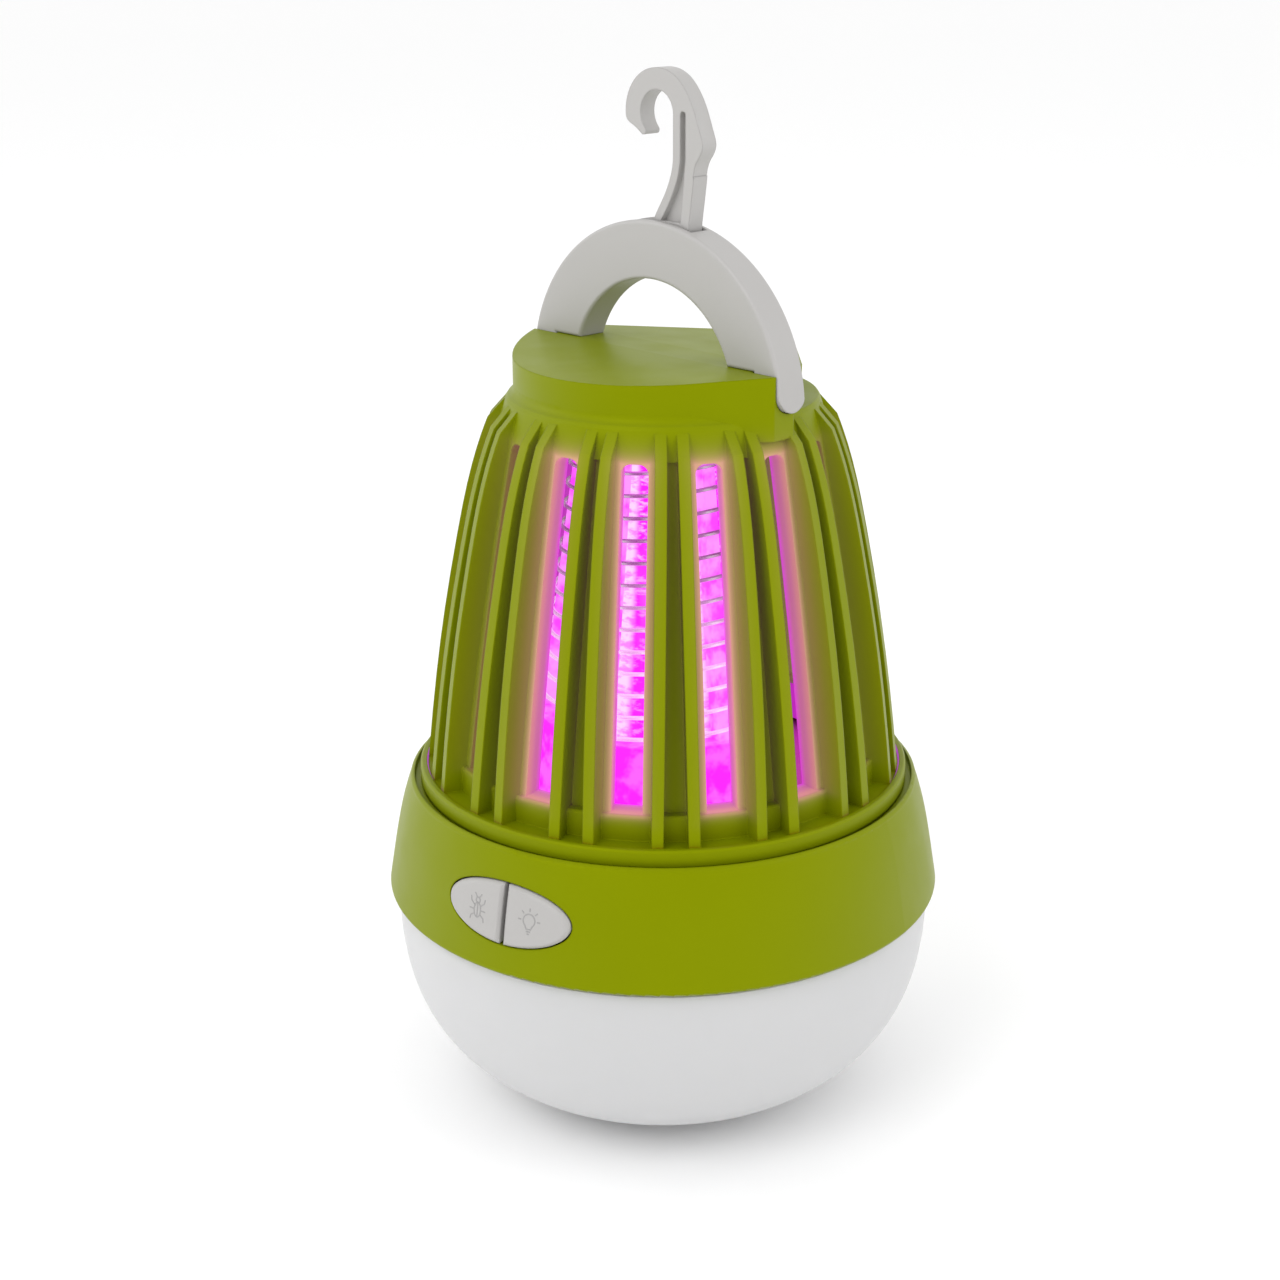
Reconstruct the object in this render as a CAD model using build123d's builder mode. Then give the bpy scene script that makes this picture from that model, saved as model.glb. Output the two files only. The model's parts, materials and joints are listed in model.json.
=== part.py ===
from build123d import *
import os
from math import asin, atan, cos, degrees, radians, sin

os.makedirs("parts", exist_ok=True)

# Lantern bug zapper, millimetres. The origin is the middle of the dome's flat underside,
# +Z is up, the two buttons face -Y and the charging port faces +Y.

# ---------------------------------------------------------------- driving dimensions
DOME_R = 41.9                 # dome radius at its rim
DOME_RIM_Z = 34.0             # dome height
DOME_BULGE = 34.6             # depth of the full superellipse, cut flat at the underside
DOME_POWER = 2.588            # superellipse exponent of the dome
DOME_WALL = 2.0
SEAM = 0.7                    # seam between dome and housing

HOUSING_Z = DOME_RIM_Z + SEAM
HOUSING_TOP_Z = 52.8
HOUSING_R = 43.24
MOUTH_R = 38.9                # housing mouth around the cage lip
LEDGE_Z = 48.5                # inner ledge that holds the deck down
LEDGE_R = 37.8
GROOVE_Z = 51.9               # floor of the groove round the cage lip

DECK_FLANGE_R = 39.0
DECK_FLANGE_Z = LEDGE_Z - 0.1
DECK_FLOOR_Z = 50.8
DECK_FLOOR = 1.4
SPIGOT_R = 35.2               # deck spigot that the cage plugs over
SPIGOT_TOP_Z = 52.0

LIP_R = 37.9                  # cage lip
LIP_Z = 52.3
LIP_TOP_Z = 54.4
SILL_R = 33.8
SLOT_Z = 58.3                 # lower end of the insect slots
SLOT_TOP_Z = 107.4
SLOT_W = 4.6                  # slot width at the bottom
SLOT_TOP_W = 3.9
CAGE_WALL = 3.2
BAYS = 15                     # slots, each between two pairs of fins
FIN_T = 1.7
FIN_OFFSET = 2.65             # fin to the middle of its pair, at the bottom
FIN_TOP_OFFSET = 1.6
CAP_R = 22.3
CAP_Z = 118.75                # height of the cap's ridge, under the handle
CAP_WALL = 2.1
CAP_FALL = 0.97               # fall of the cap's top from its ridge to its rim
CAP_FLAT = 20.0               # distance from the axis of the two flats behind the handle
SHOULDER_R = 23.3             # ledge that the cap stands on
SHOULDER_Z = 112.4

HANDLE_TURN = -12.0           # the cage's handle stands this far round from the buttons
ARCH_Z = 112.9                # centre height of the handle's arch
ARCH_R = 25.0
ARCH_HALF_SPAN = 26.0
ARCH_INNER_R = 16.5
HANDLE_T = 5.4
HOOK_T = 2.8
HOOK_GAP = 0.3                # hook to each cheek of its slot
PIVOT = (3.4, 22.0)           # hook pivot, measured from the arch centre
PIVOT_R = 1.0
EYE = (0.1, 40.2)             # centre of the hook's curl
EYE_R = 3.3
CURL_R = 6.35

GRID_R = 13.7                 # grid cone radius at GRID_REF_Z
GRID_REF_Z = 103.7
GRID_TAPER = 0.136            # radius gained for each millimetre down
GRID_Z = 62.8                 # top of the grid's skirt
GRID_TOP_Z = 106.5
WIRE_R = 0.3
WIRE_STEP = 3.3               # height between neighbouring wires
TUBE_GAP = 3.2                # light tube inside the grid cone

BUTTON_Z = 43.7
BUTTON_HALF_W = 10.7
BUTTON_HALF_H = 4.4
BUTTON_SPLIT = 0.7
BUTTON_GAP = 0.25
BUTTON_PROUD = 0.5

CELL_R = 9.2                  # 18650 cell with its sleeve
CELL_LENGTH = 65.0
CELL_Z = 39.7
STRAP_T = 0.35
TRAY_R = 36.0
TRAY_WALL = 1.4
TRAY_Z = 29.0
BOARD_Z = 39.6                # underside of the main board
BOARD_T = 1.2
BOARD_SCREWS = [(-15, 28), (15, 28)]
TERMINALS = [(-4, 17.96), (4, 17.96)]    # feet of the two grid terminals
PORT_Z = 42.5                 # middle of the charging socket

handle_plane = Plane(
    origin=(0, 0, ARCH_Z),
    x_dir=(cos(radians(HANDLE_TURN)), sin(radians(HANDLE_TURN)), 0),
    z_dir=(sin(radians(HANDLE_TURN)), -cos(radians(HANDLE_TURN)), 0),
)
across = Axis(handle_plane.origin, handle_plane.z_dir)    # through the handle, front to back


def grid_radius(z):
    """Radius of the grid cone at height z."""
    return GRID_R + (GRID_REF_Z - z) * GRID_TAPER


def dome_curve(inset, start_z):
    """Dome section from start_z down to the flat underside, moved in by inset."""
    radius = DOME_R - inset
    depth = DOME_BULGE - inset
    turns = []
    for z in (start_z, inset):
        turns.append(asin(((DOME_RIM_Z - z) / depth) ** (DOME_POWER / 2)))
    points = []
    steps = 9
    for i in range(steps + 1):
        a = turns[0] + (turns[1] - turns[0]) * i / steps
        out = radius * cos(a) ** (2 / DOME_POWER)
        down = depth * sin(a) ** (2 / DOME_POWER)
        points.append((out, DOME_RIM_Z - down))
    return points


def ring(inner_r, outer_r, low_z, high_z):
    """Plain ring between two radii and two heights."""
    with BuildPart() as body:
        with BuildSketch(Plane.XY.offset(low_z)):
            Circle(outer_r)
            Circle(inner_r, mode=Mode.SUBTRACT)
        extrude(amount=high_z - low_z)
    return body


def pan_screw(head_r, head_h, shank_r, length):
    """Screw standing on the origin, head down, shank up."""
    with BuildPart() as screw:
        Cylinder(head_r, head_h, align=(Align.CENTER, Align.CENTER, Align.MIN))
        chamfer(screw.edges().group_by(Axis.Z)[0], head_h * 0.3)
        with BuildSketch(Plane.XY.offset(head_h)):
            Circle(shank_r)
        extrude(amount=length)
        with BuildSketch():
            Rectangle(head_r * 1.1, head_r * 0.24)
            Rectangle(head_r * 0.24, head_r * 1.1)
        extrude(amount=head_h * 0.55, mode=Mode.SUBTRACT)
    return screw.part


# ---------------------------------------------------------------- dome and housing
DOME_SPIGOT_R = 40.0
DOME_SPIGOT_T = 1.6
DOME_SPIGOT_TOP_Z = 38.7
LUG_COUNT = 4
LUG_Z = 37.2
LUG_H = 1.4

with BuildPart() as diffuser_dome:
    inner = dome_curve(DOME_WALL, 31.4)
    with BuildSketch(Plane.XZ):
        with BuildLine():
            outer_wall = Spline(*dome_curve(0, DOME_RIM_Z))
            inner_wall = Spline(*inner)
            Polyline(
                outer_wall @ 0,
                (DOME_SPIGOT_R, DOME_RIM_Z),
                (DOME_SPIGOT_R, DOME_SPIGOT_TOP_Z),
                (DOME_SPIGOT_R - DOME_SPIGOT_T, DOME_SPIGOT_TOP_Z),
                (DOME_SPIGOT_R - DOME_SPIGOT_T, 32.6),
                inner_wall @ 0,
            )
            Polyline(inner_wall @ 1, (0, DOME_WALL), (0, 0), outer_wall @ 1)
        make_face()
    revolve(axis=Axis.Z)
    with BuildSketch(Plane.XY.offset(LUG_Z)):
        with PolarLocations(DOME_SPIGOT_R - 0.3, LUG_COUNT, start_angle=45):
            Rectangle(1.2, 7.0)
    extrude(amount=LUG_H)

dome_gasket = ring(40.2, 41.1, DOME_RIM_Z, HOUSING_Z)


def housing_outside():
    """Outer section of the housing from its foot to the rounded mouth."""
    skin = Spline((HOUSING_R, HOUSING_Z + 0.5), (42.49, 39.7), (40.9, 47.7), (39.55, 52.1))
    ThreePointArc(skin @ 1, (39.35, 52.6), (MOUTH_R, HOUSING_TOP_Z))
    return skin


with BuildPart() as main_housing:
    with BuildSketch(Plane.XZ):
        with BuildLine():
            skin = housing_outside()
            Polyline(
                (MOUTH_R, HOUSING_TOP_Z),
                (MOUTH_R - 0.1, GROOVE_Z),
                (LEDGE_R, GROOVE_Z),
                (LEDGE_R, LEDGE_Z),
                (39.3, LEDGE_Z),
                (39.3, 47.0),
                (40.0, 44.0),
                (40.4, 41.0),
                (40.4, HOUSING_Z),
                (HOUSING_R - 0.5, HOUSING_Z),
            )
            ThreePointArc(
                (HOUSING_R - 0.5, HOUSING_Z),
                (HOUSING_R - 0.15, HOUSING_Z + 0.15),
                skin @ 0,
            )
        make_face()
    revolve(axis=Axis.Z)
    # tabs that the dome's lugs turn over
    with BuildSketch(Plane.XY.offset(LUG_Z - 1.3)):
        with PolarLocations(40.55, LUG_COUNT, start_angle=45):
            Rectangle(0.9, 6.0)
    extrude(amount=1.2)
    # oval window of the two buttons
    with BuildSketch(Plane.XZ.offset(30)):
        with Locations((0, BUTTON_Z)):
            Ellipse(BUTTON_HALF_W + BUTTON_GAP, BUTTON_HALF_H + BUTTON_GAP)
    extrude(amount=20, mode=Mode.SUBTRACT)
    # pad, recess and opening of the charging port
    with BuildSketch(Plane.XZ.offset(-38.6)):
        with Locations((0, PORT_Z + 0.1)):
            Rectangle(19, 7.5)
    extrude(amount=-2.2)
    with BuildSketch(Plane.XZ.offset(-40.5)):
        with Locations((0, PORT_Z)):
            RectangleRounded(15.0, 7.1, 1.2)
    extrude(amount=-5, mode=Mode.SUBTRACT)
    with BuildSketch(Plane.XZ.offset(-35)):
        with Locations((0, PORT_Z)):
            RectangleRounded(9.6, 4.0, 1.2)
    extrude(amount=-8, mode=Mode.SUBTRACT)

# ---------------------------------------------------------------- deck under the cage
DECK_SCREW_R = 30.6
DECK_SCREW_ANGLE = 45
SEAL_R = 34.85
SEAL_T = 0.55
SEAL_Z = 50.4

with BuildPart() as deck:
    with BuildSketch(Plane.XZ):
        with BuildLine():
            Polyline(
                (0, DECK_FLOOR_Z - DECK_FLOOR),
                (33.4, DECK_FLOOR_Z - DECK_FLOOR),
                (33.4, 46.9),
                (DECK_FLANGE_R, 46.9),
                (DECK_FLANGE_R, DECK_FLANGE_Z),
                (SPIGOT_R, DECK_FLANGE_Z),
                (SPIGOT_R, SEAL_Z - 0.65),
                (SEAL_R - 0.6, SEAL_Z - 0.65),
                (SEAL_R - 0.6, SEAL_Z + 0.65),
                (SPIGOT_R, SEAL_Z + 0.65),
                (SPIGOT_R, SPIGOT_TOP_Z - 0.3),
                (SPIGOT_R - 0.3, SPIGOT_TOP_Z),
                (33.4, SPIGOT_TOP_Z),
                (33.4, DECK_FLOOR_Z),
                (0, DECK_FLOOR_Z),
                close=True,
            )
        make_face()
    revolve(axis=Axis.Z)
    # screw bosses under the floor
    with BuildSketch(Plane.XY.offset(32.5)):
        with PolarLocations(DECK_SCREW_R, 4, start_angle=DECK_SCREW_ANGLE):
            Circle(2.4)
    extrude(amount=DECK_FLOOR_Z - DECK_FLOOR - 32.5)
    with BuildSketch(Plane.XY.offset(32.5)):
        with PolarLocations(DECK_SCREW_R, 4, start_angle=DECK_SCREW_ANGLE):
            Circle(1.1)
    extrude(amount=9, mode=Mode.SUBTRACT)
    # holes for the two grid terminals and the leads of the ultraviolet board
    with BuildSketch(Plane.XY.offset(DECK_FLOOR_Z - 3)):
        with Locations(*TERMINALS):
            Circle(0.9)
        with Locations((0, 12.5)):
            SlotOverall(5, 1.6)
    extrude(amount=4, mode=Mode.SUBTRACT)

with BuildPart() as cage_seal:
    with BuildSketch(Plane.XZ):
        with Locations((SEAL_R, SEAL_Z)):
            Circle(SEAL_T)
    revolve(axis=Axis.Z)

# ---------------------------------------------------------------- tray with the electronics
with BuildPart() as chassis_tray:
    with BuildSketch(Plane.XY.offset(TRAY_Z)):
        Circle(TRAY_R)
    extrude(amount=46.8 - TRAY_Z)
    with BuildSketch(Plane.XY.offset(TRAY_Z + TRAY_WALL)):
        Circle(TRAY_R - TRAY_WALL)
    extrude(amount=20, mode=Mode.SUBTRACT)
    # ribs that cradle the cell
    with BuildSketch(Plane.YZ.offset(-20)):
        with Locations((0, TRAY_Z + 1)):
            Rectangle(19.5, 6.6, align=(Align.CENTER, Align.MIN))
        with Locations((0, CELL_Z)):
            Circle(CELL_R + 0.1, mode=Mode.SUBTRACT)
    cradle = extrude(amount=1.6)
    add(cradle.moved(Location((38.4, 0, 0))))
    # screw holes of the light board
    with BuildSketch(Plane.XY.offset(TRAY_Z)):
        with Locations((-9, 0), (9, 0)):
            Circle(1.0)
    extrude(amount=TRAY_WALL, mode=Mode.SUBTRACT)
    # posts under the main board
    with BuildSketch(Plane.XY.offset(TRAY_Z + 1)):
        with Locations(*BOARD_SCREWS):
            Circle(2.2)
    extrude(amount=BOARD_Z - TRAY_Z - 1)
    with BuildSketch(Plane.XY.offset(BOARD_Z - 6)):
        with Locations(*BOARD_SCREWS):
            Circle(0.9)
    extrude(amount=6, mode=Mode.SUBTRACT)
    # seats of the four long screws
    with BuildSketch(Plane.XY.offset(TRAY_Z)):
        with PolarLocations(DECK_SCREW_R, 4, start_angle=DECK_SCREW_ANGLE):
            Circle(3.2)
    extrude(amount=3.4)
    with BuildSketch(Plane.XY.offset(TRAY_Z)):
        with PolarLocations(DECK_SCREW_R, 4, start_angle=DECK_SCREW_ANGLE):
            Circle(2.3)
    extrude(amount=1.8, mode=Mode.SUBTRACT)
    with BuildSketch(Plane.XY.offset(TRAY_Z)):
        with PolarLocations(DECK_SCREW_R, 4, start_angle=DECK_SCREW_ANGLE):
            Circle(1.2)
    extrude(amount=6, mode=Mode.SUBTRACT)
    # wall cut away behind the buttons and at the charging socket
    with BuildSketch(Plane.XZ.offset(28)):
        with Locations((0, 37.6)):
            Rectangle(26, 12, align=(Align.CENTER, Align.MIN))
    extrude(amount=12, mode=Mode.SUBTRACT)
    with BuildSketch(Plane.XZ.offset(-28)):
        with Locations((0, BOARD_Z - 0.4)):
            Rectangle(26, 10, align=(Align.CENTER, Align.MIN))
    extrude(amount=-12, mode=Mode.SUBTRACT)

with BuildPart() as tray_screws:
    with PolarLocations(DECK_SCREW_R, 4, start_angle=DECK_SCREW_ANGLE):
        with Locations((0, 0, TRAY_Z + 0.2)):
            add(pan_screw(2.1, 1.5, 1.0, 10))

with BuildPart() as led_board:
    with BuildSketch(Plane.XY.offset(TRAY_Z - 1.1)):
        Circle(27.5)
        with Locations((-9, 0), (9, 0)):
            Circle(1.1, mode=Mode.SUBTRACT)
    extrude(amount=1.0)

with BuildPart() as white_leds:
    with BuildSketch(Plane.XY.offset(TRAY_Z - 1.1)):
        with PolarLocations(19, 8):
            Rectangle(3.5, 2.8)
    extrude(amount=-0.8)
    chamfer(white_leds.edges().group_by(Axis.Z)[0], 0.2)

with BuildPart() as led_board_screws:
    with Locations((-9, 0, TRAY_Z - 2.1), (9, 0, TRAY_Z - 2.1)):
        add(pan_screw(1.8, 1.0, 0.9, 2.2))

with BuildPart() as battery_cell:
    with BuildSketch(Plane.YZ.offset(-CELL_LENGTH / 2)):
        with Locations((0, CELL_Z)):
            Circle(CELL_R)
    extrude(amount=CELL_LENGTH - 1.4)
    chamfer(battery_cell.edges().filter_by(GeomType.CIRCLE), 0.6)
    with BuildSketch(Plane.YZ.offset(CELL_LENGTH / 2 - 1.4)):
        with Locations((0, CELL_Z)):
            Circle(3.0)
    extrude(amount=1.4)

with BuildPart() as battery_strap:
    with BuildSketch(Plane.YZ.offset(-4)):
        with Locations((0, CELL_Z)):
            Circle(CELL_R + STRAP_T)
            Circle(CELL_R, mode=Mode.SUBTRACT)
    extrude(amount=8)
    with BuildSketch(Plane.YZ.offset(-4)):
        with Locations((0, CELL_Z - CELL_R - 1)):
            Rectangle(30, 12)
    extrude(amount=8, mode=Mode.SUBTRACT)

with BuildPart() as main_board:
    with BuildSketch(Plane.XY.offset(BOARD_Z)):
        Circle(34.2)
        with Locations((0, 10.6)):
            Rectangle(37, 30, align=(Align.CENTER, Align.MIN), mode=Mode.INTERSECT)
        with Locations(*BOARD_SCREWS):
            Circle(1.1, mode=Mode.SUBTRACT)
    extrude(amount=BOARD_T)

with BuildPart() as board_screws:
    with Locations(*[(x, y, BOARD_Z + BOARD_T + 1.2) for x, y in BOARD_SCREWS]):
        with Locations(Rotation(180, 0, 0)):
            add(pan_screw(1.9, 1.2, 0.85, 5))

TOP_Z = BOARD_Z + BOARD_T     # upper face of the main board

with BuildPart() as hv_transformer:
    with BuildSketch(Plane.XY.offset(TOP_Z)):
        with Locations((-12, 17)):
            Rectangle(12, 10)
    extrude(amount=1.6)
    with BuildSketch(Plane.XY.offset(TOP_Z + 1.6)):
        with Locations((-12, 17)):
            RectangleRounded(9, 8, 2)
    extrude(amount=4.6)
    with BuildSketch(Plane.XY.offset(TOP_Z + 6.2)):
        with Locations((-12, 17)):
            Rectangle(12, 10)
    extrude(amount=1.6)

with BuildPart() as hv_capacitors:
    with BuildSketch(Plane.XY.offset(TOP_Z)):
        with Locations((9, 14.2), (9, 21.4)):
            RectangleRounded(10, 4.2, 1)
    extrude(amount=7.8)
    fillet(hv_capacitors.edges().group_by(Axis.Z)[-1], 0.6)

with BuildPart() as usb_socket:
    with BuildSketch(Plane.XZ.offset(-31.6)):
        with Locations((0, PORT_Z)):
            RectangleRounded(8.9, 3.2, 1.2)
    extrude(amount=-7.2)
    with BuildSketch(Plane.XZ.offset(-33.4)):
        with Locations((0, PORT_Z)):
            RectangleRounded(8.3, 2.6, 1.0)
    extrude(amount=-6, mode=Mode.SUBTRACT)
    with BuildSketch(Plane.XZ.offset(-33.0)):
        with Locations((0, PORT_Z)):
            Rectangle(6.2, 0.7)
    extrude(amount=-4.6)
    with BuildSketch(Plane.XY.offset(TOP_Z)):
        with Locations((0, 33.0)):
            Rectangle(7.0, 2.4)
    extrude(amount=0.4)

with BuildPart() as grid_terminals:
    with BuildSketch(Plane.XY.offset(TOP_Z)):
        with Locations(*TERMINALS):
            Circle(0.7)
    extrude(amount=GRID_Z - TOP_Z - 0.4)

# ---------------------------------------------------------------- buttons and their switches
TRAVEL = 0.5
FACE_BACK_Y = -39.9
FLANGE_Y = -36.9              # back of the flange behind each button
SWITCH_FLOOR_Y = -33.9        # floor of the hole in a switch body
SWITCH_X = 5.3
SWITCH_Z = 42.0


def button(side):
    """Half-oval button: side is -1 for the left one, 1 for the right one."""
    split = side * BUTTON_SPLIT / 2
    with BuildPart() as key:
        with BuildSketch(Plane.XZ):
            with BuildLine():
                proud = Spline(
                    (HOUSING_R + BUTTON_PROUD, HOUSING_Z + 0.5),
                    (42.49 + BUTTON_PROUD, 39.7),
                    (40.9 + BUTTON_PROUD, 47.7),
                    (39.55 + BUTTON_PROUD, 52.1),
                )
                Polyline(proud @ 1, (10, 52.1), (10, HOUSING_Z + 0.5), proud @ 0)
            make_face()
        revolve(axis=Axis.Z)
        # keep only the half oval in front of the flat back
        with BuildSketch(Plane.XZ.offset(-FACE_BACK_Y)):
            with Locations((0, BUTTON_Z)):
                Ellipse(BUTTON_HALF_W, BUTTON_HALF_H)
            with Locations((split, BUTTON_Z)):
                away = Align.MAX if side > 0 else Align.MIN
                Rectangle(30, 20, align=(away, Align.CENTER), mode=Mode.SUBTRACT)
        extrude(amount=8, mode=Mode.INTERSECT)
        front = key.faces().sort_by(Axis.Y)[0]
        chamfer(front.edges(), 0.45)
        # stem and the flange that keeps the button in its window
        with BuildSketch(Plane.XZ.offset(-FACE_BACK_Y)):
            with Locations((side * 4.6, 43.1)):
                RectangleRounded(7.4, 3.8, 0.8)
        extrude(amount=-2.1)
        with BuildSketch(Plane.XZ.offset(-FLANGE_Y)):
            with Locations((side * 6.3, 41.6)):
                RectangleRounded(11.4, 4.0, 0.8)
        extrude(amount=0.9)
    return key


zap_button = button(-1)
lamp_button = button(1)


def plunger(side):
    """Plunger of one tact switch, pressed by its button."""
    with BuildPart() as pin:
        with BuildSketch(Plane.XZ.offset(-FLANGE_Y)):
            with Locations((side * SWITCH_X, SWITCH_Z)):
                Circle(1.6)
        extrude(amount=FLANGE_Y - SWITCH_FLOOR_Y + TRAVEL + 0.2)
        chamfer(pin.edges().group_by(Axis.Y)[-1], 0.25)
    return pin


zap_plunger = plunger(-1)
lamp_plunger = plunger(1)

with BuildPart() as switch_bodies:
    with BuildSketch(Plane.XZ.offset(31.9)):
        with Locations((-SWITCH_X, SWITCH_Z), (SWITCH_X, SWITCH_Z)):
            RectangleRounded(6, 6, 0.5)
    extrude(amount=3.5)
    with BuildSketch(Plane.XZ.offset(-SWITCH_FLOOR_Y)):
        with Locations((-SWITCH_X, SWITCH_Z), (SWITCH_X, SWITCH_Z)):
            Circle(1.75)
    extrude(amount=3, mode=Mode.SUBTRACT)

with BuildPart() as switch_board:
    with BuildSketch(Plane.XZ.offset(30.9)):
        with Locations((0, 42.4)):
            Rectangle(22, 8.4)
    extrude(amount=1.0)

# ---------------------------------------------------------------- cover of the charging port
COVER_HINGE = (41.6, PORT_Z - 2.5)    # hinge line, as y and z

with BuildPart() as port_cover:
    with BuildSketch(Plane.XZ):
        with BuildLine():
            flush = Spline((HOUSING_R, HOUSING_Z + 0.5), (42.49, 39.7), (40.9, 47.7), (39.55, 52.1))
            Polyline(flush @ 1, (10, 52.1), (10, HOUSING_Z + 0.5), flush @ 0)
        make_face()
    revolve(axis=Axis.Z)
    with BuildSketch(Plane.XZ.offset(-40.6)):
        with Locations((0, PORT_Z + 0.15)):
            RectangleRounded(14.2, 6.2, 0.9)
    extrude(amount=-5, mode=Mode.INTERSECT)
    with BuildSketch(Plane.YZ.offset(-5)):
        with Locations(COVER_HINGE):
            Circle(0.7)
    extrude(amount=10)
    # plug that seals the socket
    with BuildSketch(Plane.XZ.offset(-39.2)):
        with Locations((0, PORT_Z)):
            RectangleRounded(7.4, 2.0, 0.9)
    extrude(amount=-1.6)
    # finger nail notch along the top
    with BuildSketch(Plane.YZ.offset(-3)):
        with Locations((42.0, PORT_Z + 3.4)):
            Circle(0.7)
    extrude(amount=6, mode=Mode.SUBTRACT)

# ---------------------------------------------------------------- ultraviolet light and grid
with BuildPart() as uv_led_board:
    with BuildSketch(Plane.XY.offset(DECK_FLOOR_Z)):
        Circle(14.5)
    extrude(amount=1.2)

with BuildPart() as uv_leds:
    with BuildSketch(Plane.XY.offset(DECK_FLOOR_Z + 1.2)):
        with PolarLocations(9, 6):
            Rectangle(3.5, 2.8)
    extrude(amount=0.8)

TUBE_TOP_Z = GRID_TOP_Z - 1.6
TUBE_WALL = 1.5

with BuildPart() as light_tube:
    with BuildSketch(Plane.XZ):
        with BuildLine():
            low_r = grid_radius(DECK_FLOOR_Z) - TUBE_GAP
            top_r = grid_radius(TUBE_TOP_Z) - TUBE_GAP
            Polyline(
                (low_r, DECK_FLOOR_Z),
                (top_r, TUBE_TOP_Z),
                (0, TUBE_TOP_Z),
                (0, TUBE_TOP_Z - TUBE_WALL),
                (top_r - TUBE_WALL, TUBE_TOP_Z - TUBE_WALL),
                (low_r - TUBE_WALL, DECK_FLOOR_Z),
                close=True,
            )
        make_face()
    revolve(axis=Axis.Z)

RIB_COUNT = 6
RIB_T = 2.0
RIB_START = 33                # turn of the first rib
RIB_INSET = 0.15              # ribs end this far inside the wires

with BuildPart() as grid_frame:
    with BuildSketch(Plane.XZ):
        with BuildLine():
            low_r = grid_radius(DECK_FLOOR_Z)
            top_r = grid_radius(GRID_Z)
            Polyline(
                (low_r, DECK_FLOOR_Z),
                (top_r, GRID_Z),
                (top_r - TUBE_GAP + 0.2, GRID_Z),
                (low_r - TUBE_GAP + 0.2, DECK_FLOOR_Z),
                close=True,
            )
        make_face()
    revolve(axis=Axis.Z)
    for turn in range(RIB_COUNT):
        rib_plane = Plane.XZ.rotated((0, 0, RIB_START + turn * 360 / RIB_COUNT))
        with BuildSketch(rib_plane):
            with BuildLine():
                low_r = grid_radius(GRID_Z - 1) - WIRE_R - RIB_INSET
                top_r = grid_radius(GRID_TOP_Z) - WIRE_R - RIB_INSET
                inner_low_r = grid_radius(GRID_Z - 1) - TUBE_GAP + 0.2
                inner_top_r = grid_radius(GRID_TOP_Z) - TUBE_GAP + 0.2
                Polyline(
                    (low_r, GRID_Z - 1),
                    (top_r, GRID_TOP_Z),
                    (inner_top_r, GRID_TOP_Z),
                    (inner_low_r, GRID_Z - 1),
                    close=True,
                )
            make_face()
        extrude(amount=RIB_T / 2, both=True)
    with BuildSketch(Plane.XY.offset(TUBE_TOP_Z + 0.1)):
        Circle(grid_radius(TUBE_TOP_Z) - WIRE_R - RIB_INSET)
        Circle(1.25, mode=Mode.SUBTRACT)
    extrude(amount=1.5)
    with BuildSketch(Plane.XY.offset(DECK_FLOOR_Z)):
        with Locations(*TERMINALS):
            Circle(0.75)
    extrude(amount=GRID_Z - DECK_FLOOR_Z, mode=Mode.SUBTRACT)

with BuildPart() as grid_cap:
    with BuildSketch(Plane.XY.offset(GRID_TOP_Z)):
        Circle(grid_radius(GRID_TOP_Z) + 0.9)
    extrude(amount=2.4)
    fillet(grid_cap.edges().group_by(Axis.Z)[-1], 0.9)
    with BuildSketch(Plane.XY.offset(GRID_TOP_Z + 0.9)):
        Circle(2.4)
    extrude(amount=2, mode=Mode.SUBTRACT)
    with BuildSketch(Plane.XY.offset(GRID_TOP_Z)):
        Circle(1.3)
    extrude(amount=2, mode=Mode.SUBTRACT)

with BuildPart() as grid_cap_screw:
    with Locations((0, 0, GRID_TOP_Z + 2.3)):
        with Locations(Rotation(180, 0, 0)):
            add(pan_screw(2.1, 1.4, 1.2, 2.4))


def grid_wire(start_turn):
    """One of the two wires wound up the grid cone, starting start_turn degrees round."""
    low_z = GRID_Z + 0.6
    high_z = GRID_TOP_Z - 1.2
    with BuildPart() as wire:
        with BuildLine(Plane.XY.offset(low_z)):
            helix = Helix(
                pitch=2 * WIRE_STEP,
                height=high_z - low_z,
                radius=grid_radius(low_z),
                cone_angle=-degrees(atan(GRID_TAPER)),
            )
        with BuildSketch(Plane(origin=helix @ 0, z_dir=helix % 0)):
            RegularPolygon(WIRE_R * 1.1, 6)
        sweep(is_frenet=True)
    with BuildPart() as turned:
        with Locations(Rotation(0, 0, start_turn)):
            add(wire.part)
    return turned


grid_wire_live = grid_wire(78)
grid_wire_return = grid_wire(258)

# ---------------------------------------------------------------- cage
def shell_outside():
    """Outer section of the slotted shell, bottom to top."""
    return [(33.0, SLOT_Z), (29.3, 83.0), (24.7, 107.7)]


def fin_edge():
    """Outer edge of a fin: distance from the axis against height."""
    return [(36.6, LIP_TOP_Z - 0.4), (34.0, 74.7), (31.1, 90.7), (27.6, 104.7), (26.1, 108.7)]


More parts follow.
